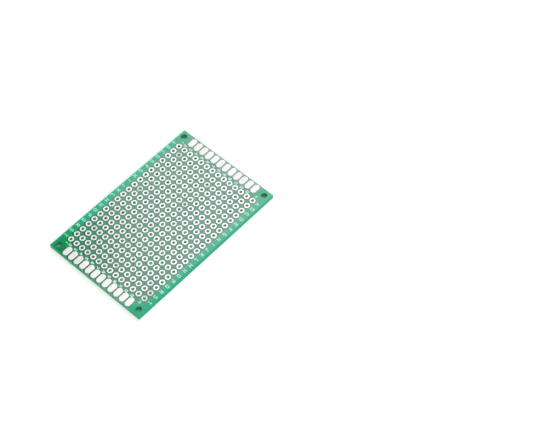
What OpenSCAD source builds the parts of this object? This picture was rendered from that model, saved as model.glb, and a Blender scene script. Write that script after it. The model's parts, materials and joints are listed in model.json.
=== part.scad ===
// Double-sided prototype board: a drilled laminate that carries a grid of plated-through
// pads, a line of long solder pads along each short end and a screw hole in each corner.
// X runs along the rows of holes, +Y runs towards row A, and Z is up through the board.
// The origin is under the middle of the board, on the surface that the board lies on.

/* [Hole grid] */
// Holes in each row, across the board
columns = 14; // [4:1:40]
// Rows of holes, lettered from A
rows = 20; // [4:1:26]
// Distance between neighbouring hole centres
pitch = 2.54; // [2.12:0.02:5.08]
// Finished hole for a component lead
hole_d = 1.0; // [0.5:0.05:1.5]
// Outside diameter of the ring round each hole
ring_d = 2.0; // [1.6:0.05:2.4]

/* [Board] */
// From the outer columns of holes to the long sides of the board
side_margin = 3.49; // [2.5:0.01:12]
// From the outer rows of holes to the short ends of the board
end_margin = 5.87; // [4.95:0.01:15]
// Thickness of the bare laminate
laminate_t = 1.5; // [0.4:0.1:3.2]

/* [Corner holes] */
// Hole for an M2 screw in each corner
mount_hole_d = 2.1; // [1.6:0.1:3]
// From the middle of a corner hole to each of its two board edges
mount_edge = 2.0; // [1.6:0.1:2.8]
// Circle that the edge pads leave free for the head of the screw
screw_head_d = 4.0; // [3:0.1:6]

/* [Edge pads] */
// Width of a long solder pad
edge_pad_w = 2.0; // [1:0.05:2.4]
// Length of a long solder pad over its round ends
edge_pad_l = 3.5; // [2.5:0.1:4.3]
// From the end of the board to the pads
edge_pad_gap = 0.25; // [0.15:0.05:1.1]

/* [Metal and mask] */
// Wall of the plating inside each hole
plating_t = 0.03; // [0.02:0.01:0.1]
// Thickness of the solder mask
mask_t = 0.03; // [0.02:0.01:0.1]
// Height of the tinned pads above the mask
pad_proud = 0.02; // [0.01:0.01:0.1]
// Ring of bare laminate between the mask and each pad
mask_clear = 0.05; // [0.02:0.01:0.2]

/* [Hidden] */
$fn = 48;
row_letters = "abcdefghijklmnopqrstuvwxyz";

board_w = (columns - 1) * pitch + 2 * side_margin;
board_l = (rows - 1) * pitch + 2 * end_margin;
pad_t = mask_t + pad_proud;
board_t = laminate_t + 2 * pad_t;
drill_d = hole_d + 2 * plating_t;

// Heights of the four faces between the layers
laminate_bottom_z = pad_t;
laminate_top_z = pad_t + laminate_t;

mount_x = board_w / 2 - mount_edge;
mount_y = board_l / 2 - mount_edge;
edge_pad_y = board_l / 2 - edge_pad_gap - edge_pad_l / 2;

function column_x(c) = (c - (columns - 1) / 2) * pitch;
function row_y(r) = ((rows - 1) / 2 - r) * pitch;
function row_node(r) = str("plated_row_", row_letters[r]);

// The columns whose edge pads stay clear of the screw heads
edge_pad_columns = [
    for (c = [0 : columns - 1])
        if (abs(column_x(c)) + edge_pad_w / 2 < mount_x - screw_head_d / 2) c
];

// Places its children at every hole of the grid
module at_grid() {
    for (r = [0 : rows - 1])
        for (c = [0 : columns - 1])
            translate([column_x(c), row_y(r)]) children();
}

// Places its children at the corner holes
module at_corner_holes() {
    for (x = [-mount_x, mount_x])
        for (y = [-mount_y, mount_y])
            translate([x, y]) children();
}

// Places its children at the edge pads of one short end: 1 beyond row A, -1 beyond the last row
module at_edge_pads(end) {
    for (c = edge_pad_columns)
        translate([column_x(c), end * edge_pad_y]) children();
}

// An edge pad's outline with its round ends, grown all round by a clearance
module edge_pad_outline(clear = 0) {
    straight = edge_pad_l - edge_pad_w;
    width = edge_pad_w + 2 * clear;
    square([width, straight], center = true);
    for (y = [-straight / 2, straight / 2])
        translate([0, y]) circle(d = width);
}

// The board's outline with its corner holes
module board_outline() {
    difference() {
        square([board_w, board_l], center = true);
        at_corner_holes() circle(d = mount_hole_d);
    }
}

// Glass-epoxy sheet, drilled for the plating
module laminate() {
    color("#5fa884")
        translate([0, 0, laminate_bottom_z])
            linear_extrude(laminate_t)
                difference() {
                    board_outline();
                    at_grid() circle(d = drill_d);
                }
}

// One side's mask, with an opening round every ring and edge pad
module solder_mask(z) {
    color("#128a58")
        translate([0, 0, z])
            linear_extrude(mask_t)
                difference() {
                    board_outline();
                    at_grid() circle(d = ring_d + 2 * mask_clear);
                    for (end = [1, -1])
                        at_edge_pads(end) edge_pad_outline(mask_clear);
                }
}

module solder_mask_top() {
    solder_mask(laminate_top_z);
}

module solder_mask_bottom() {
    solder_mask(laminate_bottom_z - mask_t);
}

// A plated-through pad: the ring on each face and the barrel that joins them
module plated_pad() {
    rotate_extrude()
        polygon([
            [hole_d / 2, 0],
            [ring_d / 2, 0],
            [ring_d / 2, laminate_bottom_z],
            [drill_d / 2, laminate_bottom_z],
            [drill_d / 2, laminate_top_z],
            [ring_d / 2, laminate_top_z],
            [ring_d / 2, board_t],
            [hole_d / 2, board_t]
        ]);
}

// One row of plated-through pads
module plated_row(r) {
    color("#e4e8e2")
        for (c = [0 : columns - 1])
            translate([column_x(c), row_y(r), 0]) plated_pad();
}

// The edge pads of one short end, on one face
module edge_pads(end, z) {
    color("#e9ebe6")
        translate([0, 0, z])
            linear_extrude(pad_t)
                at_edge_pads(end) edge_pad_outline();
}

module edge_pads_top_first_row() {
    edge_pads(1, laminate_top_z);
}

module edge_pads_top_last_row() {
    edge_pads(-1, laminate_top_z);
}

module edge_pads_bottom_first_row() {
    edge_pads(1, 0);
}

module edge_pads_bottom_last_row() {
    edge_pads(-1, 0);
}

laminate();
solder_mask_top();
solder_mask_bottom();
for (r = [0 : rows - 1])
    plated_row(r);
edge_pads_top_first_row();
edge_pads_top_last_row();
edge_pads_bottom_first_row();
edge_pads_bottom_last_row();
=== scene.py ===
"""A bare double-sided prototype board, lying on a pale table in soft studio light."""
import json
import math
import random

import bmesh
import bpy
from mathutils import Matrix, Quaternion, Vector


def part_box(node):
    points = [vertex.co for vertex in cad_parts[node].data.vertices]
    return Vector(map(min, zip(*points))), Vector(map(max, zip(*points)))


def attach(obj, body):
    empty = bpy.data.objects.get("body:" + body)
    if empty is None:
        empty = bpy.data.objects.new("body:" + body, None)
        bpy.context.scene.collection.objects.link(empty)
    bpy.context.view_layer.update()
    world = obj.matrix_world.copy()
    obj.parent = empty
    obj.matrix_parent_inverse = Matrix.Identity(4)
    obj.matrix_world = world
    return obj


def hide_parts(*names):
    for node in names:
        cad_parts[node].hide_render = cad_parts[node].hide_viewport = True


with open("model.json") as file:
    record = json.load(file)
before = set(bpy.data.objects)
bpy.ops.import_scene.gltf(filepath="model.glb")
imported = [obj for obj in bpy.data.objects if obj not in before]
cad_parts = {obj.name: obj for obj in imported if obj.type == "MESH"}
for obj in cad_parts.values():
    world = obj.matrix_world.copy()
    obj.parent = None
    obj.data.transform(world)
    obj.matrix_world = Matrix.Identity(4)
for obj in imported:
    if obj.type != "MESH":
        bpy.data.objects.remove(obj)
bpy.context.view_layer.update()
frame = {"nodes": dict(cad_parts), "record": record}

# Lengths are in millimetres until a piece is finished, because the board's details are that small
MM = 0.001


def box_mm(node):
    """The lowest and the highest corner of a CAD node, each as x, y and z in millimetres.

    Flat facets take a few thousandths off the reach of a round end, and rounding puts them back.
    """
    return [[round(value / MM, 2) for value in corner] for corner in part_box(node)]


# ---------------------------------------------------------------- the board's own sizes

MOUNTS = {mount["name"]: mount for mount in frame["record"]["mounts"]}
GRID = MOUNTS["lead_grid"]["dims"]
CORNERS = MOUNTS["corner_holes"]["dims"]

PITCH = GRID["spacing_x_mm"]
HOLE_R = GRID["hole_r_mm"]
ROWS = sum(node.startswith("plated_row_") for node in frame["nodes"])
COLUMNS = GRID["count"] // ROWS
ROW_LETTERS = "ABCDEFGHIJKLMNOPQRSTUVWXYZ"[:ROWS]

(_, _, LAMINATE_BOTTOM), (HALF_X, HALF_Y, LAMINATE_TOP) = box_mm("laminate")
_, (_, _, MASK_TOP) = box_mm("solder_mask_top")
(_, _, MASK_BOTTOM), _ = box_mm("solder_mask_bottom")
(_, row_front, PAD_BOTTOM), (_, row_back, PAD_TOP) = box_mm("plated_row_a")
RING_R = (row_back - row_front) / 2

(pads_left, pads_front, _), (pads_right, pads_back, _) = box_mm("edge_pads_top_first_row")
EDGE_PAD_COUNT = round((pads_right - pads_left) / PITCH)
EDGE_PAD_R = (pads_right - pads_left - (EDGE_PAD_COUNT - 1) * PITCH) / 2
EDGE_PAD_Y = (pads_front + pads_back) / 2
EDGE_PAD_STRAIGHT = (pads_back - pads_front) / 2 - EDGE_PAD_R

CORNER_X = CORNERS["spacing_x_mm"] / 2
CORNER_Y = CORNERS["spacing_y_mm"] / 2
CORNER_R = CORNERS["hole_r_mm"]

# The plating's wall in each hole, and the bare laminate between the mask and each pad
BARREL_WALL = 0.03
MASK_CLEAR = 0.05


def column_x(column):
    """Where a column of holes lies across the board. Column 0 is printed as 1."""
    return (column - (COLUMNS - 1) / 2) * PITCH


def row_y(row):
    """Where a row of holes lies along the board. Row 0 is printed as A."""
    return ((ROWS - 1) / 2 - row) * PITCH


EDGE_PAD_XS = [column_x(c) for c in range(1, COLUMNS - 1)]
CORNER_PLACES = [(x, y) for x in (-CORNER_X, CORNER_X) for y in (-CORNER_Y, CORNER_Y)]


# ---------------------------------------------------------------- node building

class Wire:
    """A value that a node gives out. Arithmetic on it adds Math nodes to the same finish."""

    def __init__(self, finish, socket):
        self.finish = finish
        self.socket = socket

    def math(self, operation, *values):
        """Any Math node."""
        return self.finish.add("ShaderNodeMath", {"operation": operation}, dict(enumerate(values)))

    def __add__(self, other):
        return self.math("ADD", self, other)

    __radd__ = __add__

    def __sub__(self, other):
        return self.math("SUBTRACT", self, other)

    def __rsub__(self, other):
        return self.math("SUBTRACT", other, self)

    def __mul__(self, other):
        return self.math("MULTIPLY", self, other)

    __rmul__ = __mul__

    def __truediv__(self, other):
        return self.math("DIVIDE", self, other)

    def __pow__(self, other):
        return self.math("POWER", self, other)

    def __abs__(self):
        return self.math("ABSOLUTE", self)

    def __floor__(self):
        return self.math("FLOOR", self)

    def least(self, other):
        """The smaller of two values."""
        return self.math("MINIMUM", self, other)

    def most(self, other):
        """The larger of two values."""
        return self.math("MAXIMUM", self, other)

    def wave(self, length):
        """A sine wave of that length along this value, between 0 and 1."""
        turn = self * (2 * math.pi / length)
        return self.math("SINE", turn) * 0.5 + 0.5

    def rise(self, low, high):
        """0 below low, 1 above high, and smooth between them. low may be the larger one."""
        return self.finish.add(
            "ShaderNodeMapRange",
            {"interpolation_type": "SMOOTHSTEP"},
            {"Value": self, "From Min": low, "From Max": high},
        )


class Finish:
    """A surface finish, or the sky round the table, made of nodes."""

    def __init__(self, owner):
        owner.use_nodes = True
        self.owner = owner
        self.tree = owner.node_tree
        self.tree.nodes.clear()

    def add(self, kind, settings=None, sockets=None, out=0):
        """Any node: its type, its settings, what its sockets hold or link to, and the output used."""
        node = self.tree.nodes.new(kind)
        for name, value in (settings or {}).items():
            setattr(node, name, value)
        for name, value in (sockets or {}).items():
            if isinstance(value, Wire):
                self.tree.links.new(value.socket, node.inputs[name])
            else:
                node.inputs[name].default_value = value
        return Wire(self, node.outputs[out]) if len(node.outputs) else None

    def place(self):
        """The point on the piece, in millimetres in the board's own frame."""
        point = self.add("ShaderNodeTexCoord", out="Object")
        sockets = {"Vector": point, "Scale": 1 / MM}
        return self.add("ShaderNodeVectorMath", {"operation": "SCALE"}, sockets)

    def axes(self, vector):
        """The x, y and z of a vector."""
        return [self.add("ShaderNodeSeparateXYZ", {}, {"Vector": vector}, out=axis) for axis in "XYZ"]

    def vector(self, x, y, z):
        """A vector made of three values."""
        return self.add("ShaderNodeCombineXYZ", {}, {"X": x, "Y": y, "Z": z})

    def stretched(self, vector, sizes):
        """A vector with each of its axes multiplied by its own number."""
        return self.add("ShaderNodeVectorMath", {"operation": "MULTIPLY"}, {0: vector, 1: sizes})

    def noise(self, vector, scale, detail=2.0, roughness=0.5, distortion=0.0):
        """Soft clouds between 0 and 1, about 1 / scale apart."""
        sockets = {
            "Vector": vector,
            "Scale": scale,
            "Detail": detail,
            "Roughness": roughness,
            "Distortion": distortion,
        }
        return self.add("ShaderNodeTexNoise", {}, sockets)

    def white_noise(self, vector):
        """A number between 0 and 1 that has nothing to do with its neighbours'."""
        return self.add("ShaderNodeTexWhiteNoise", {}, {"Vector": vector})

    def blend(self, share, first, second):
        """The first colour, with a share of the second."""
        settings = {"data_type": "RGBA", "clamp_factor": True}
        return self.add("ShaderNodeMix", settings, {0: share, 6: first, 7: second}, out=2)

    def relief(self, height, depth_mm, strength=1.0):
        """Bumps in a surface, where a height of 1 stands depth_mm above a height of 0."""
        sockets = {"Height": height, "Distance": depth_mm * MM, "Strength": strength}
        return self.add("ShaderNodeBump", {}, sockets)

    def surface(self, **sockets):
        """A Principled surface. Socket names are written with _ for a space."""
        named = {name.replace("_", " "): value for name, value in sockets.items()}
        shader = self.add("ShaderNodeBsdfPrincipled", {}, named)
        self.output(shader)

    def output(self, shader):
        """Puts a shader on the material or the world that this finish belongs to."""
        owner_kind = "World" if isinstance(self.owner, bpy.types.World) else "Material"
        self.add(f"ShaderNodeOutput{owner_kind}", {}, {"Surface": shader})

    def rays(self):
        """Whether a ray comes from the camera, off a shiny surface or through a clear one: 0 or 1."""
        kinds = ("Is Camera Ray", "Is Glossy Ray", "Is Transmission Ray")
        return [self.add("ShaderNodeLightPath", out=kind) for kind in kinds]


def color(red, green, blue):
    """An opaque colour, in linear light."""
    return (red, green, blue, 1.0)


def from_nearest(value, first, count):
    """How far a value is from the nearest of some places, and the number of that place.

    The places lie a pitch apart about zero. There are count of them, and the search leaves out
    the first few and as many at the other end.
    """
    steps = value / PITCH + count / 2
    place = math.floor(steps).most(first).least(count - 1 - first)
    return (steps - place - 0.5) * PITCH, place


def from_ring_centre(x, y):
    """How far a point is from the middle of the nearest lead hole, and that hole's column and row."""
    from_x, column = from_nearest(x, 0, COLUMNS)
    from_y, row = from_nearest(y, 0, ROWS)
    return (from_x * from_x + from_y * from_y) ** 0.5, column, row


def beyond_copper(x, y):
    """How far a point of the mask is beyond the edge of the nearest ring or long pad."""
    ring_distance, _, _ = from_ring_centre(x, y)
    from_x, _ = from_nearest(x, 1, COLUMNS)
    from_y = (abs(abs(y) - EDGE_PAD_Y) - EDGE_PAD_STRAIGHT).most(0.0)
    pad_distance = (from_x * from_x + from_y * from_y) ** 0.5
    return (ring_distance - RING_R).least(pad_distance - EDGE_PAD_R)


# ---------------------------------------------------------------- finishes

# The middle of the grid to the far side of its outermost squares, each a pitch wide
GRID_HALF_X = COLUMNS * PITCH / 2
GRID_HALF_Y = ROWS * PITCH / 2
# Height of the bumps where a finish's relief is 1
RELIEF = 0.02


def woven_glass(finish, place):
    """The cloth under the mask: two crossed sets of threads, gently out of line."""
    waver = finish.noise(place, 0.35, 2.0) * 0.8
    x, y, _ = finish.axes(place)
    return (x + waver).wave(0.62) * (y + waver).wave(0.74)


def green_solder_mask():
    """Glossy mask over woven glass: thin and pale by the cut edges, greyer between the pads, with painted
    light and sheen.
    """
    finish = Finish(bpy.data.materials.new("green_solder_mask"))
    place = finish.place()
    x, y, _ = finish.axes(place)

    # Between the rings, between the long pads, and in the gap at their inner ends
    inside_x = abs(x).rise(GRID_HALF_X + 0.1, GRID_HALF_X - 0.4)
    inside_grid = inside_x * abs(y).rise(GRID_HALF_Y + 0.1, GRID_HALF_Y - 0.4)
    pad_columns = abs(x).rise(GRID_HALF_X - PITCH + 0.3, GRID_HALF_X - PITCH - 0.2)
    pad_band = abs(y).rise(GRID_HALF_Y - 0.6, GRID_HALF_Y - 0.4) * pad_columns
    pad_foot = EDGE_PAD_Y - EDGE_PAD_STRAIGHT - EDGE_PAD_R
    beside_pads = abs(y).rise(pad_foot + 0.1, pad_foot + 0.6) * pad_columns
    between = inside_grid.most(pad_band)

    # The mask climbs onto the edge of the copper, and higher where it has run thick. A dark crescent
    # lies along one side of each ring, stronger towards the corner by the last row and the first column.
    diagonal = (x + y) * -math.sqrt(0.5)
    thick = diagonal.rise(6.0, 27.0)
    beyond = beyond_copper(x, y)
    collar = beyond.rise(0.75, 0.05) * 1.5 + beyond.rise(0.30, 0.05) * (0.4 + 1.0 * thick)
    rim = beyond.rise(0.20, 0.07)
    shift = 0.07 + 0.07 * thick
    crescent = beyond_copper(x + shift, y + shift * 1.2).rise(0.28, 0.10) * (0.15 + 0.80 * thick)

    weave = woven_glass(finish, place)
    clouds = finish.noise(place, 0.09, 3.0, 0.55)
    streaks = finish.noise(finish.stretched(place, (2.6, 0.28, 1.0)), 1.0, 3.0, 0.6)
    ragged = finish.noise(place, 1.6, 4.0, 0.65)
    pits = finish.noise(place, 2.2, 3.0)

    # The mask is a deeper green towards the corner by the last row and the first column
    deep_corner = (diagonal + clouds * 3.0).rise(24.0, 32.0)
    corner_tip = diagonal.rise(29.8, 31.2)
    beside_first_pad = corner_tip * x.rise(-17.6, -16.8)
    last_corner = x.rise(14.6, 15.6) * x.rise(19.2, 18.4) * y.rise(-27.0, -28.5)

    # The long margins: painted light brightens them towards the first column's last rows, and a
    # painted sheen makes them milky by the last column towards the first rows
    painted_light_side = x.rise(-6.0, -17.0) * y.rise(22.0, -6.0)
    far_margin = x.rise(GRID_HALF_X - 0.7, GRID_HALF_X - 0.2)
    near_margin = x.rise(0.7 - GRID_HALF_X, 0.2 - GRID_HALF_X)
    thin_corner = (x - y).rise(30.0, 50.0)

    # The board's cut edges, where the mask is thin and frayed, with a pale line along them that is
    # partly wear and partly painted highlight, and a painted highlight along the first column's edge
    edge = (HALF_X - abs(x)).least(HALF_Y - abs(y))
    cut_line = (edge + ragged * 0.20).rise(0.28, 0.10)
    thin_side = (HALF_X - abs(x)).rise(1.4, 0.1)
    end_strip = (HALF_Y - abs(y)).rise(0.70, 0.35) * pad_columns
    toward_first = y.rise(-20.0, 25.0)
    painted_highlight_side = (x + HALF_X).rise(0.35 + 0.27 * toward_first, 0.10) * (0.46 + 0.47 * toward_first)

    green = color(0.008, 0.352, 0.180)
    pale_green = color(0.014, 0.378, 0.205)
    lit_margin_green = color(0.008, 0.440, 0.225)
    painted_sheen_margin_green = color(0.042, 0.370, 0.230)
    base = finish.blend(clouds.rise(0.35, 0.7) * 0.6 + streaks.rise(0.4, 0.75) * 0.3, green, pale_green)
    base = finish.blend(painted_light_side * 0.8, base, lit_margin_green)
    painted_sheen_margin = far_margin * y.rise(-6.0, 12.0) * (1.0 - 0.6 * thin_side)
    base = finish.blend(painted_sheen_margin, base, painted_sheen_margin_green)

    deep_corner_green = color(0.003, 0.372, 0.088)
    tip_green = color(0.001, 0.315, 0.085)
    shaded_tip_green = color(0.001, 0.245, 0.075)
    last_corner_green = color(0.008, 0.440, 0.205)
    base = finish.blend(deep_corner, base, deep_corner_green)
    base = finish.blend(corner_tip * 0.95, base, tip_green)
    base = finish.blend(beside_first_pad, base, shaded_tip_green)
    base = finish.blend(last_corner * 0.9, base, last_corner_green)

    thin_green = color(0.010, 0.520, 0.320)
    pale_thin_green = color(0.090, 0.570, 0.400)
    thin = finish.blend(y.rise(-8.0, 30.0), thin_green, pale_thin_green)
    base = finish.blend(thin_side * (0.38 + 0.24 * x.rise(-1.0, 1.0)), base, thin)

    # Between the pads the mask is greyer, with a painted sheen that grows towards the first row
    web_green = color(0.054, 0.222, 0.150)
    sheen_web_green = color(0.096, 0.243, 0.190)
    web = finish.blend(y.rise(-22.0, 16.0), web_green, sheen_web_green)
    base = finish.blend(between * 0.9, base, web)

    gap_green = color(0.175, 0.250, 0.240)
    pale_gap_green = color(0.335, 0.340, 0.325)
    gap = finish.blend(y.rise(-5.0, 5.0), gap_green, pale_gap_green)
    base = finish.blend(beside_pads * 0.8, base, gap)

    strip_green = color(0.015, 0.245, 0.115)
    far_strip_green = color(0.065, 0.370, 0.180)
    pale_strip_green = color(0.140, 0.400, 0.220)
    strip = finish.blend(x.rise(-10.0, 10.0), strip_green, far_strip_green)
    strip = finish.blend(abs(x).rise(15.0, 5.0) * 0.9, strip, pale_strip_green)
    base = finish.blend(end_strip * 0.9, base, strip)

    rim_green = color(0.110, 0.118, 0.095)
    crescent_green = color(0.010, 0.110, 0.050)
    worn_and_highlit_edge = color(0.030, 0.500, 0.270)
    painted_highlight_edge_green = color(0.550, 0.920, 0.850)
    base = finish.blend(weave * 0.12, base, pale_green)
    base = finish.blend(rim * 0.5, base, rim_green)
    base = finish.blend(crescent, base, crescent_green)
    base = finish.blend(cut_line * 0.55, base, worn_and_highlit_edge)
    base = finish.blend(painted_highlight_side, base, painted_highlight_edge_green)

    # How much of its gloss the mask has lost. The rest of the gloss is the coat.
    lost_gloss = 0.55 * thin_side + 0.38 * thin_corner + 0.13 * far_margin * y.rise(6.0, -14.0)
    lost_gloss += 0.60 * deep_corner + 0.15 * near_margin * y.rise(-10.0, 0.0) + 0.35 * last_corner
    finish.surface(
        Base_Color=base,
        Roughness=0.28 + 0.08 * clouds + 0.05 * weave + 0.12 * cut_line,
        IOR=1.5,
        Specular_IOR_Level=0.05,
        Coat_Weight=(1.0 - lost_gloss).most(0.22 - 0.17 * corner_tip),
        Coat_IOR=1.62,
        Coat_Roughness=0.13,
        Normal=finish.relief(collar + weave * 0.04 + streaks * 0.08 + pits * 0.06, RELIEF),
    )
    return finish.owner


def cut_laminate():
    """The sawn edge of the laminate: plies of glass cloth in green resin, with a little fuzz."""
    finish = Finish(bpy.data.materials.new("cut_laminate"))
    place = finish.place()
    _, y, z = finish.axes(place)

    waver = finish.noise(finish.stretched(place, (0.5, 0.5, 4.0)), 1.0, 3.0)
    ply = (z + waver * 0.10).wave(0.19)
    fibres = finish.noise(finish.stretched(place, (9.0, 9.0, 1.6)), 1.0, 3.0, 0.6)
    blotches = finish.noise(place, 0.6, 3.0, 0.6)
    skin = abs(z - (LAMINATE_TOP + LAMINATE_BOTTOM) / 2).rise(0.60, 0.73)
    # Near the short ends the cut face is painted lighter: painted light
    lit_short_end = abs(y).rise(HALF_Y - 0.10, HALF_Y - 0.03)

    resin = color(0.010, 0.395, 0.185)
    glass = color(0.030, 0.535, 0.280)
    fuzz = color(0.090, 0.600, 0.390)
    skin_green = color(0.008, 0.370, 0.150)
    pale_side = color(0.150, 0.550, 0.340)
    painted_light_end_green = color(0.140, 0.700, 0.330)
    base = finish.blend(ply * 0.6 + blotches.rise(0.35, 0.7) * 0.4, resin, glass)
    base = finish.blend(fibres.rise(0.58, 0.78) * 0.5, base, fuzz)
    base = finish.blend(skin * 0.7, base, skin_green)
    base = finish.blend(y.rise(0.0, 28.0) * 0.25, base, pale_side)
    base = finish.blend(lit_short_end * 0.40, base, painted_light_end_green)
    finish.surface(
        Base_Color=base,
        Roughness=0.5 + 0.25 * fibres,
        IOR=1.52,
        Specular_IOR_Level=0.3,
        Normal=finish.relief(ply * 0.4 + fibres * 0.8, RELIEF, 0.7),
    )
    return finish.owner


def bright_tin():
    """Hot-dipped tin: each ring a little different, a few gone dull, with shade, reflection and light
    painted in.
    """
    finish = Finish(bpy.data.materials.new("bright_tin"))
    place = finish.place()
    x, y, z = finish.axes(place)

    # What sets one ring apart from the next. The two faces of a ring differ too.
    ring_distance, column, row = from_ring_centre(x, y)
    own_shade = finish.white_noise(finish.vector(column, row, z.rise(0.7, 0.9)))
    dullness = finish.add("ShaderNodeAttribute", {"attribute_name": "dullness"}, out="Fac")

    in_grid = abs(y).rise(GRID_HALF_Y + 0.05, GRID_HALF_Y)
    shaded_corner = (x * -0.8 - y * 0.6).rise(8.0, 28.0)
    inward = (z - LAMINATE_BOTTOM).least(LAMINATE_TOP - z)
    barrel = ring_distance.rise(HOLE_R + 0.06, HOLE_R + 0.01) * inward.rise(-0.03, 0.06) * in_grid
    deep = barrel * inward.rise(0.12, 0.42)

    ripples = finish.noise(place, 1.5, 3.0, 0.55, 0.4)
    grain = finish.noise(place, 9.0, 3.0, 0.6)
    spots = finish.noise(place, 3.2, 4.0, 0.6)

    long_pad_tin = color(0.942, 0.934, 0.925)
    # The long pads at the first end are painted darker: painted shade
    shaded_first_end_tin = color(0.780, 0.770, 0.775)
    # The rings' green tint is a painted reflection of the mask round them
    ring_tin = color(0.890, 0.945, 0.915)
    long_pad = finish.blend(y.rise(-5.0, 5.0), long_pad_tin, shaded_first_end_tin)
    base = finish.blend(in_grid, long_pad, ring_tin)

    shaded_tin = color(0.740, 0.790, 0.765)
    mask_reflection_tin = color(0.500, 0.820, 0.667)
    dull_tin = color(0.500, 0.535, 0.515)
    shade = own_shade * 0.20 + ripples.rise(0.45, 0.8) * 0.25 + shaded_corner * 0.25
    base = finish.blend(shade, base, shaded_tin)
    # Towards the corner by the last row and first column, and by the first column's first rows, the rings
    # get more painted green reflection
    painted_green_reflection = shaded_corner * 0.35 + x.rise(-4.0, -16.0) * y.rise(4.0, 20.0) * 0.15
    base = finish.blend(painted_green_reflection * in_grid, base, mask_reflection_tin)
    base = finish.blend(dullness * (0.7 + 0.3 * spots.rise(0.35, 0.65)), base, dull_tin)

    # Down the holes the tin is painted light, and painted darker towards the first column: painted light
    # and shade
    wall_tin = color(0.930, 0.940, 0.945)
    lit_hole_tin = color(1.000, 0.990, 0.985)
    shaded_hole_tin = color(0.740, 0.715, 0.695)
    far_lit_hole_tin = color(0.950, 0.900, 0.895)
    base = finish.blend(barrel, base, wall_tin)
    inner = finish.blend(x.rise(-18.0, 14.0), shaded_hole_tin, lit_hole_tin)
    inner = finish.blend(x.rise(-6.0, 14.0) * y.rise(-4.0, 20.0), inner, far_lit_hole_tin)
    base = finish.blend(deep, base, inner)
    finish.surface(
        Base_Color=base,
        Metallic=1.0,
        Roughness=0.48 - 0.06 * in_grid + 0.08 * grain + 0.06 * own_shade + 0.10 * dullness,
        Normal=finish.relief(ripples * 0.8 + grain * 0.25 + dullness * spots * 0.6, RELIEF, 0.45),
    )
    return finish.owner


def legend_print():
    """Matt white ink that lets some of the mask's green through, and more where it is worn."""
    finish = Finish(bpy.data.materials.new("legend_print"))
    place = finish.place()
    x, _, _ = finish.axes(place)
    wear = finish.noise(place, 3.0, 4.0, 0.65)
    speckle = finish.noise(place, 12.0, 2.0)
    first_column_ink = color(0.455, 0.999, 0.870)
    ink = color(0.600, 0.995, 0.905)
    worn_ink = color(0.360, 0.860, 0.690)
    base = finish.blend(x.rise(-17.0, -16.0), first_column_ink, ink)
    base = finish.blend(wear.rise(0.5, 0.8) * 0.35, base, worn_ink)
    finish.surface(
        Base_Color=base,
        Roughness=0.42 + 0.2 * speckle,
        Normal=finish.relief(speckle, 0.003, 0.4),
    )
    return finish.owner


MASK_GREEN = green_solder_mask()
LAMINATE_EDGE = cut_laminate()
TIN = bright_tin()
INK = legend_print()


# ---------------------------------------------------------------- shapes

def circle(x, y, radius, sides):
    """A circle's outline about a point, in straight sides."""
    turn = 2 * math.pi / sides
    return [(x + radius * math.cos(i * turn), y + radius * math.sin(i * turn)) for i in range(sides)]


def long_round(x, y, radius, straight, sides):
    """A slot's outline, its straight sides along Y, reaching straight beyond the middle each way."""
    turn = math.pi / (sides // 2 - 1)
    points = []
    for end in (1, -1):
        for i in range(sides // 2):
            angle = i * turn + (0 if end == 1 else math.pi)
            points.append((x + radius * math.cos(angle), y + end * straight + radius * math.sin(angle)))
    return points


def board_edge():
    """The board's own outline."""
    return [(-HALF_X, -HALF_Y), (HALF_X, -HALF_Y), (HALF_X, HALF_Y), (-HALF_X, HALF_Y)]


# A face of less than this many square millimetres has no sure direction
SLIVER = 0.00001


def without_slivers(mesh):
    """Turns edges on the flat faces of a plate until hardly any of those faces is a sliver."""
    work = bmesh.new()
    work.from_mesh(mesh)
    flat = [face for face in work.faces if abs(face.normal.z) > 0.999 or face.calc_area() < SLIVER]
    flat_set = set(flat)
    inner = [edge for edge in work.edges if edge.is_manifold and flat_set.issuperset(edge.link_faces)]
    bmesh.ops.beautify_fill(work, faces=flat, edges=inner, method="ANGLE")
    work.to_mesh(mesh)
    work.free()
    return mesh


def plate(name, openings, low, high, lip):
    """A plate of the board's outline, from low to high, with its openings cut through it.

    Every edge is eased by lip, inside the plate's own size. The fill is sound with sizes in round
    hundredths, and stray last digits can make it overlap itself.
    """
    curve = bpy.data.curves.new(name, "CURVE")
    curve.dimensions = "2D"
    curve.fill_mode = "BOTH"
    curve.extrude = (high - low) / 2 - lip
    curve.bevel_depth = lip
    curve.bevel_resolution = 1
    curve.offset = -lip
    for outline in [board_edge(), *openings]:
        spline = curve.splines.new("POLY")
        spline.points.add(len(outline) - 1)
        for point, (x, y) in zip(spline.points, outline):
            point.co = (x, y, 0, 1)
        spline.use_cyclic_u = True
    drawn = bpy.data.objects.new(name, curve)
    mesh = bpy.data.meshes.new_from_object(drawn)
    mesh.transform(Matrix.Translation((0, 0, (low + high) / 2)))
    bpy.data.objects.remove(drawn)
    return without_slivers(mesh)


def mesh_of(name, points, faces, dullness=None):
    """A mesh of points and faces. dullness is how dull the tin is at each point."""
    mesh = bpy.data.meshes.new(name)
    mesh.from_pydata(points, [], faces)
    if dullness:
        mesh.attributes.new("dullness", "FLOAT", "POINT").data.foreach_set("value", dullness)
    return mesh


def moved_on(faces, count):
    """Faces whose points come after the first count points of a mesh."""
    return [tuple(i + count for i in face) for face in faces]


def turned_over(faces):
    """The same faces, looking the other way."""
    return [tuple(reversed(face)) for face in faces]


def band_faces(rounds, sides, closed=False):
    """The faces between each round of points and the next, and from the last to the first if closed."""
    faces = []
    for here in range(rounds if closed else rounds - 1):
        there = (here + 1) % rounds
        for i in range(sides):
            j = (i + 1) % sides
            faces.append((here * sides + i, there * sides + i, there * sides + j, here * sides + j))
    return faces


def end_faces(rounds, sides):
    """The faces that close the first and the last round of points."""
    first = range(sides)
    last = range((rounds - 1) * sides, rounds * sides)
    return [tuple(first), tuple(reversed(last))]


# Faces that meet at more than this angle show an edge
SHARP_ANGLE = math.radians(40)


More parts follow.
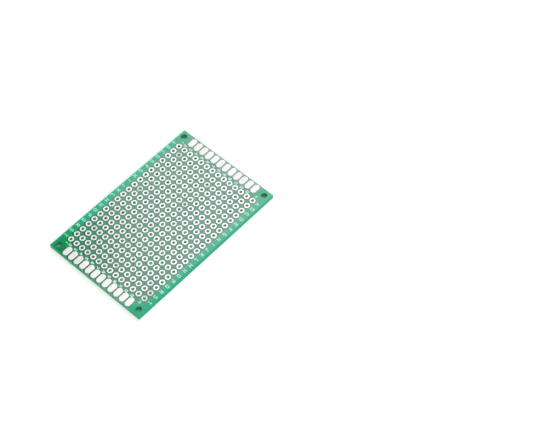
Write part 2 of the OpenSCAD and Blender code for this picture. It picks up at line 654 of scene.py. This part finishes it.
def add_piece(name, mesh, finish, nodes=()):
    """Turns a mesh in millimetres into a piece that rides with the board and stands for its CAD nodes."""
    mesh.transform(Matrix.Scale(MM, 4))
    mesh.shade_smooth()
    mesh.set_sharp_from_angle(angle=SHARP_ANGLE)
    mesh.materials.clear()
    mesh.materials.append(finish)
    piece = bpy.data.objects.new(name, mesh)
    bpy.context.scene.collection.objects.link(piece)
    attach(piece, "root")
    if nodes:
        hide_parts(*nodes)


# ---------------------------------------------------------------- laminate and masks

OPENING_SIDES = 48
DRILL_SIDES = 32
DRILL_R = HOLE_R + BARREL_WALL
LAMINATE_LIP = 0.02
MASK_LIP = 0.008

corner_circles = [circle(x, y, CORNER_R, OPENING_SIDES) for x, y in CORNER_PLACES]
hole_places = [(column_x(c), row_y(r)) for r in range(ROWS) for c in range(COLUMNS)]

openings = corner_circles + [circle(x, y, DRILL_R, DRILL_SIDES) for x, y in hole_places]
laminate = plate("glass_epoxy_laminate", openings, LAMINATE_BOTTOM, LAMINATE_TOP, LAMINATE_LIP)
add_piece("glass_epoxy_laminate", laminate, LAMINATE_EDGE, ["laminate"])

openings = corner_circles + [circle(x, y, RING_R + MASK_CLEAR, OPENING_SIDES) for x, y in hole_places]
for y in (EDGE_PAD_Y, -EDGE_PAD_Y):
    for x in EDGE_PAD_XS:
        openings.append(long_round(x, y, EDGE_PAD_R + MASK_CLEAR, EDGE_PAD_STRAIGHT, OPENING_SIDES))
for face, low, high in (("top", LAMINATE_TOP, MASK_TOP), ("bottom", MASK_BOTTOM, LAMINATE_BOTTOM)):
    name = f"green_mask_{face}"
    mask = plate(name, openings, low, high, MASK_LIP)
    add_piece(name, mask, MASK_GREEN, [f"solder_mask_{face}"])


# ---------------------------------------------------------------- plated-through pads

PAD_SIDES = 36
PAD_RISE = PAD_TOP - LAMINATE_TOP
# From the ring's foot over its crown to the wall of the hole: radius, and height above the laminate's
# surface, where 1 is the top of the pad
CROWN = [
    (RING_R, 0.0),
    (RING_R - 0.03, 0.64),
    (RING_R - 0.07, 0.86),
    (RING_R - 0.15, 0.97),
    (RING_R - 0.25, 1.00),
    (HOLE_R + 0.09, 0.90),
    (HOLE_R + 0.03, 0.62),
    (HOLE_R + 0.005, 0.10),
    (HOLE_R, -0.90),
]
# How far the tin on a few pads has gone dull, up to 1. The others are dull by chance, and much less.
DULL_PADS = {
    "B2": 0.68,
    "I2": 0.50,
    "T14": 0.50,
    "G8": 0.45,
    "S14": 0.45,
    "Q2": 0.40,
    "H8": 0.40,
    "S8": 0.35,
    "C8": 0.33,
    "M3": 0.30,
    "O9": 0.25,
    "M6": 0.20,
    "O6": 0.20,
    "B6": 0.20,
    "T10": 0.20,
}
DULL_BY_CHANCE = 0.12
# The least that a pad's tin stands, as a share of the pad's own height
THINNEST_TIN = 0.8


def plated_pad(x, y, fullness):
    """One pad: its profile turned about its hole. fullness is how thick the tin lies, up to 1."""
    crown = [(radius, PAD_RISE * height * (fullness if height > 0 else 1)) for radius, height in CROWN]
    profile = [(radius, LAMINATE_TOP + rise) for radius, rise in crown]
    profile += [(radius, LAMINATE_BOTTOM - rise) for radius, rise in reversed(crown)]
    profile += [(DRILL_R, LAMINATE_BOTTOM), (DRILL_R, LAMINATE_TOP)]
    points = []
    for side in range(PAD_SIDES):
        angle = side * 2 * math.pi / PAD_SIDES
        across = math.cos(angle)
        along = math.sin(angle)
        points += [(x + radius * across, y + radius * along, z) for radius, z in profile]
    return points, band_faces(PAD_SIDES, len(profile), closed=True)


tin_random = random.Random(5)
for row, letter in enumerate(ROW_LETTERS):
    points, faces, dullness = [], [], []
    for column in range(COLUMNS):
        fullness = tin_random.uniform(THINNEST_TIN, 1.0)
        pad_points, pad_faces = plated_pad(column_x(column), row_y(row), fullness)
        faces += moved_on(pad_faces, len(points))
        points += pad_points
        by_chance = DULL_BY_CHANCE * tin_random.random() ** 3
        dullness += [DULL_PADS.get(f"{letter}{column + 1}", by_chance)] * len(pad_points)
    name = f"tinned_pads_{letter}"
    mesh = mesh_of(name, points, faces, dullness)
    add_piece(name, mesh, TIN, [f"plated_row_{letter.lower()}"])


# ---------------------------------------------------------------- long pads along the short ends

EDGE_PAD_SIDES = 48
# From a long pad's foot to its ridge: how far in it lies, as a share of the half-width, and how high,
# where 1 is the top
SWELL = [
    (0.00, 0.00),
    (0.00, 0.35),
    (0.03, 0.68),
    (0.09, 0.86),
    (0.20, 0.94),
    (0.40, 0.98),
    (0.70, 1.00),
    (0.97, 1.00),
]
# How dull the tin on the long pads is by chance, and how much duller it is on a few of them
LONG_DULL_BY_CHANCE = 0.1
DULL_LONG_PADS = {
    ("long_pads_top_last_row", 1): 0.12,
    ("long_pads_top_last_row", 2): 0.06,
    ("long_pads_top_last_row", 3): 0.16,
}


def long_pad(x, y, foot, top):
    """A pad swelling from its foot to its top. The two heights may be either way up."""
    points = []
    for inward, share in SWELL:
        outline = long_round(x, y, EDGE_PAD_R * (1 - inward), EDGE_PAD_STRAIGHT, EDGE_PAD_SIDES)
        points += [(px, py, foot + (top - foot) * share) for px, py in outline]
    faces = band_faces(len(SWELL), EDGE_PAD_SIDES) + end_faces(len(SWELL), EDGE_PAD_SIDES)
    return points, turned_over(faces) if top > foot else faces


for face, foot, top in (("top", LAMINATE_TOP, PAD_TOP), ("bottom", LAMINATE_BOTTOM, PAD_BOTTOM)):
    for end, y in (("first", EDGE_PAD_Y), ("last", -EDGE_PAD_Y)):
        name = f"long_pads_{face}_{end}_row"
        points, faces, dullness = [], [], []
        for column, x in enumerate(EDGE_PAD_XS, start=1):
            pad_points, pad_faces = long_pad(x, y, foot, top)
            faces += moved_on(pad_faces, len(points))
            points += pad_points
            by_chance = LONG_DULL_BY_CHANCE * tin_random.random()
            dullness += [by_chance + DULL_LONG_PADS.get((name, column), 0)] * len(pad_points)
        mesh = mesh_of(name, points, faces, dullness)
        add_piece(name, mesh, TIN, [f"edge_pads_{face}_{end}_row"])


# ---------------------------------------------------------------- printed grid references

# Strokes of each sign on a grid 4 wide and 6 high. A stroke that starts with "~" is a smooth bend.
SIGN_WIDTH = 4
SIGN_HEIGHT = 6
SIGNS = {
    "A": ["0,0 2,6 4,0", "0.7,2 3.3,2"],
    "B": [
        "0,0 0,6",
        "~0,6 2.4,6 3.8,6 3.8,3.1 2.4,3.1 0,3.1",
        "~0.05,3.1 2.6,3.1 4.1,3.1 4.1,0 2.6,0 0,0",
    ],
    "C": ["~4,4.9 3.4,6 0.6,6.2 0,4.6 0,1.4 0.6,-0.2 3.4,0 4,1.1"],
    "D": ["0,0 0,6", "~0,6 2.2,6 4,5.4 4,0.6 2.2,0 0,0"],
    "E": ["4,6 0,6 0,0 4,0", "0,3 3.2,3"],
    "F": ["4,6 0,6 0,0", "0,3 3.2,3"],
    "G": ["~4,4.9 3.4,6 0.6,6.2 0,4.6 0,1.4 0.6,-0.2 3.4,-0.2 4,1.2 4,2.7", "2.4,2.7 4,2.7"],
    "H": ["0,0 0,6", "4,0 4,6", "0,3 4,3"],
    "I": ["2,0 2,6"],
    "J": ["~3.4,6 3.4,3 3.4,0.4 2.6,0 1.2,0 0.5,0.4 0.3,1.6"],
    "K": ["0,0 0,6", "4,6 0,2.2", "1.4,3.5 4,0"],
    "L": ["0,6 0,0 3.8,0"],
    "M": ["-0.5,0 -0.5,6 2,2 4.5,6 4.5,0"],
    "N": ["0,0 0,6 4,0 4,6"],
    "O": ["~2,6 0,6 0,4 0,2 0,0 2,0 4,0 4,2 4,4 4,6 2,6"],
    "P": ["0,0 0,6", "~0,6 2.4,6 4,6 4,2.9 2.4,2.9 0,2.9"],
    "Q": ["~2,6 0,6 0,4 0,2 0,0 2,0 4,0 4,2 4,4 4,6 2,6", "2.4,1.6 4.1,-0.2"],
    "R": ["0,0 0,6", "~0,6 2.4,6 4,6 4,2.9 2.4,2.9 0,2.9", "2,2.9 4,0"],
    "S": ["~3.9,5 3.4,6 0.6,6.1 0,4.6 0.4,3.3 3.6,2.8 4,1.4 3.4,-0.1 0.6,0 0.1,1"],
    "T": ["0,6 4,6", "2,6 2,0"],
    "0": ["~2,6 0.2,6 0.2,4 0.2,2 0.2,0 2,0 3.8,0 3.8,2 3.8,4 3.8,6 2,6"],
    "1": ["0.9,4.8 2.2,6 2.2,0"],
    "2": ["~0.1,4.7 0.5,6 3.7,6.2 4,4 1.4,1.4 0,0", "0,0 4,0"],
    "3": ["~0.2,5.2 0.8,6.1 3.8,6.2 3.8,3.2 1.6,3.2", "~1.55,3.2 4.2,3.2 4.2,-0.2 0.7,-0.2 0.1,1"],
    "4": ["3,0 3,6 0,1.8 4,1.8"],
    "5": ["3.8,6 0.6,6 0.3,3.3", "~0.3,3.3 1.4,3.8 4,3.8 4.2,0 1,-0.3 0.1,1"],
    "6": ["~3.6,5.4 2.8,6.2 0.2,6 0,2 0.2,0 3.8,-0.2 4,3.4 0.8,3.8 0.1,2"],
    "7": ["0,6 4,6 1.4,0"],
    "8": [
        "~2,3.2 0.2,3.3 0.2,6 2,6 3.8,6 3.8,3.3 2,3.2",
        "~2,3.2 -0.2,3.1 -0.2,0 2,0 4.2,0 4.2,3.1 2,3.2",
    ],
    "9": ["~0.4,0.6 1.2,-0.2 3.8,0 4,4 3.8,6 0.2,6.2 0,2.6 3.2,2.2 3.9,4"],
}
BEND_PASSES = 3


def stroke_points(stroke):
    """The points of one stroke. A bend has its corners cut off, again and again."""
    points = [Vector([float(n) for n in pair.split(",")]) for pair in stroke.lstrip("~").split()]
    if stroke.startswith("~"):
        for _ in range(BEND_PASSES):
            cut = [points[0]]
            for a, b in zip(points, points[1:]):
                cut += [a * 0.75 + b * 0.25, a * 0.25 + b * 0.75]
            points = [*cut, points[-1]]
    return points


# How far round a stroke's end each of its steps lies, from the tip
INK_END_STEPS = 4
INK_END_ANGLES = [(step + 0.35) / INK_END_STEPS * math.pi / 2 for step in range(INK_END_STEPS)]
# Across a stroke: how far out, as a share of its half-width, and how high
INK_SECTION = [(-1.0, 0.0), (-0.8, 0.75), (0.0, 1.0), (0.8, 0.75), (1.0, 0.0)]
# The least that a stroke's sharp turn counts as, which keeps its corner from shooting out
SHARPEST_TURN = 0.45


def ink_line(points, foot, top, half_width):
    """A low rounded bead of ink along a line of points, with round ends unless it closes on itself."""
    closed = (points[0] - points[-1]).length < 0.001
    if closed:
        points = points[:-1]
    ahead = (points[1] - points[0]).normalized()
    behind = (points[-1] - points[-2]).normalized()
    stations = []
    for i, point in enumerate(points):
        into, out = ahead, behind
        if closed or i > 0:
            into = (point - points[i - 1]).normalized()
        if closed or i < len(points) - 1:
            out = (points[(i + 1) % len(points)] - point).normalized()
        along = (into + out).normalized()
        stations.append((point, along, 1 / max(SHARPEST_TURN, along.dot(out))))
    if not closed:
        for angle in reversed(INK_END_ANGLES):
            reach = half_width * math.cos(angle)
            stations.insert(0, (points[0] - ahead * reach, ahead, math.sin(angle)))
            stations.append((points[-1] + behind * reach, behind, math.sin(angle)))
    made = []
    for middle, along, width in stations:
        side = Vector((-along.y, along.x)) * half_width * width
        for share, height in INK_SECTION:
            spot = middle + side * share
            made.append((spot.x, spot.y, foot + (top - foot) * height * min(width, 1)))
    faces = band_faces(len(stations), len(INK_SECTION), closed)
    if not closed:
        faces += end_faces(len(stations), len(INK_SECTION))
    return made, faces


# Height, width of one character and half-width of the stroke
LETTER = (1.20, 0.70, 0.106)
DIGIT = (0.85, 0.58, 0.114)
PAIR_OF_DIGITS = (0.84, 0.36, 0.125)
CORNER_DIGIT = (0.70, 0.36, 0.090)
# From one character's middle to the next one's, as a share of a character's width
CHARACTER_STEP = 1.36
# From the outer columns of holes to the letters
LETTERS_BESIDE = 2.3
# How far the numbers stand before their own column
NUMBERS_BEFORE = 1.02
# From row A, and from the last row, to the numbers: the corner ones, and the others
FIRST_ROW_TO_NUMBERS = (1.90, 1.50)
LAST_ROW_TO_NUMBERS = (1.85, 1.74)


def number_size(column):
    """The size of a column's number."""
    if column in (0, COLUMNS - 1):
        return CORNER_DIGIT
    return DIGIT if column < 9 else PAIR_OF_DIGITS


def printed_signs():
    """Every sign of one face: its text, where its middle is, and its size."""
    signs = []
    letters_x = column_x(COLUMNS - 1) + LETTERS_BESIDE
    for row, letter in enumerate(ROW_LETTERS):
        for x in (-letters_x, letters_x):
            signs.append((letter, x, row_y(row), LETTER))
    for column in range(COLUMNS):
        inner = column not in (0, COLUMNS - 1)
        number = str(column + 1)
        size = number_size(column)
        x = column_x(column) - (NUMBERS_BEFORE if inner else 0)
        signs.append((number, x, row_y(0) + FIRST_ROW_TO_NUMBERS[inner], size))
        signs.append((number, x, row_y(ROWS - 1) - LAST_ROW_TO_NUMBERS[inner], size))
    return signs


def legend(name, foot, top):
    """The letters and numbers of one face, their tops along +X. They read rightly from outside."""
    reading = -1 if top > foot else 1
    points, faces = [], []
    for text, x, y, (tall, wide, half_width) in printed_signs():
        for i, sign in enumerate(text):
            shift = (i - (len(text) - 1) / 2) * wide * CHARACTER_STEP
            for stroke in SIGNS[sign]:
                line = []
                for p in stroke_points(stroke):
                    across = (p.x / SIGN_WIDTH - 0.5) * wide + shift
                    up = (p.y / SIGN_HEIGHT - 0.5) * tall
                    line.append(Vector((x + up, y + reading * across)))
                made, made_faces = ink_line(line, foot, top, half_width)
                if reading == 1:
                    made_faces = turned_over(made_faces)
                faces += moved_on(made_faces, len(points))
                points += made
    add_piece(name, mesh_of(name, points, faces), INK)


# The ink sinks a little into the mask, so that no gap shows under it
INK_SUNK = 0.001
INK_PROUD = 0.012
legend("legend_top", MASK_TOP - INK_SUNK, MASK_TOP + INK_PROUD)
legend("legend_bottom", MASK_BOTTOM + INK_SUNK, MASK_BOTTOM - INK_PROUD)


# ---------------------------------------------------------------- table, light and camera

def pale_table():
    """A white table that the camera sees as white, except in the board's own shade under it."""
    finish = Finish(bpy.data.materials.new("pale_table"))
    place = finish.place()
    x, y, _ = finish.axes(place)
    camera_ray, glossy_ray, clear_ray = finish.rays()
    open_table = abs(x).rise(HALF_X - 0.4, HALF_X - 0.2).most(abs(y).rise(HALF_Y - 0.4, HALF_Y - 0.2))
    # The far table is beyond the lamps' reach
    far = ((x * x + y * y) ** 0.5).rise(200.0, 1000.0)
    lift = camera_ray.most(glossy_ray).most(clear_ray) * open_table * (0.55 + 0.45 * far)
    speck = finish.noise(place, 0.06, 4.0)
    paper = finish.blend(speck.rise(0.3, 0.7), color(0.54, 0.54, 0.54), color(0.56, 0.56, 0.56))
    matte = finish.add("ShaderNodeBsdfDiffuse", {}, {"Color": paper})
    shine = finish.add("ShaderNodeEmission", {}, {"Color": lift})
    finish.output(finish.add("ShaderNodeAddShader", {}, {0: matte, 1: shine}))
    return finish.owner


# Half of the table's side, in metres
TABLE_HALF = 3.0
corners = [(x * TABLE_HALF, y * TABLE_HALF, 0) for x, y in ((-1, -1), (1, -1), (1, 1), (-1, 1))]
table_mesh = mesh_of("table", corners, [(0, 1, 2, 3)])
table_mesh.materials.append(pale_table())
table = bpy.data.objects.new("table", table_mesh)
bpy.context.scene.collection.objects.link(table)

scene = bpy.context.scene
scene.world = bpy.data.worlds.new("studio")
sky = Finish(scene.world)
across, along, up = sky.axes(sky.add("ShaderNodeTexCoord", out="Generated"))
toward_light = (across + along) * math.sqrt(0.5)
# A black card high on one side, which the corner of the board by T1 mirrors
toward_card = across * -0.672 + along * 0.039 + up * 0.739
black_card = toward_card.rise(0.928, 0.950)
glow = (0.52 + 0.30 * toward_light.rise(-0.5, 0.5)) * (1 - black_card * 0.95)
# The camera sees the sky as white, and so do mirroring and clear surfaces low down in it
camera_ray, glossy_ray, clear_ray = sky.rays()
sees_backdrop = camera_ray.most((glossy_ray + clear_ray) * up.rise(0.65, 0.40))
brightness = glow * (1 - sees_backdrop) + sees_backdrop
sky.output(sky.add("ShaderNodeBackground", {}, {"Color": color(1, 1, 1), "Strength": brightness}))


def softbox(name, place, aim, width, height, radiance):
    """A rectangular lamp whose face is as bright as a surface of that radiance.

    Its lengths are in metres.
    """
    lamp = bpy.data.lights.new(name, "AREA")
    lamp.shape = "RECTANGLE"
    lamp.size = width
    lamp.size_y = height
    lamp.energy = radiance * math.pi * width * height
    holder = bpy.data.objects.new(name, lamp)
    holder.location = place
    holder.rotation_euler = (Vector(aim) - Vector(place)).to_track_quat("-Z", "Y").to_euler()
    bpy.context.scene.collection.objects.link(holder)
    return holder


overhead = softbox(
    "overhead_softbox",
    place=(-0.094, 0.281, 0.39),
    aim=(-0.094, 0.281, 0.0),
    width=0.42,
    height=0.45,
    radiance=1.6,
)
overhead.rotation_euler = (0, 0, math.radians(45))
softbox(
    "side_softbox",
    place=(0.48, -0.12, 0.30),
    aim=(0, 0, 0),
    width=0.40,
    height=0.40,
    radiance=1.3,
)

CAMERA_PLACE = Vector((216.71, -159.04, 388.0)) * MM
CAMERA_AIM = Vector((23.77, 24.54, 1.6)) * MM
CAMERA_ROLL = math.radians(-4.40)

camera_data = bpy.data.cameras.new("camera")
camera_data.sensor_width = 36.0
camera_data.lens = 99.0
camera_data.clip_start = 0.01
camera_data.clip_end = 20.0
camera = bpy.data.objects.new("camera", camera_data)
camera.location = CAMERA_PLACE
camera.rotation_mode = "QUATERNION"
level = (CAMERA_AIM - CAMERA_PLACE).to_track_quat("-Z", "Y")
camera.rotation_quaternion = level @ Quaternion((0, 0, 1), CAMERA_ROLL)
scene.collection.objects.link(camera)
scene.camera = camera

scene.view_settings.view_transform = "Standard"
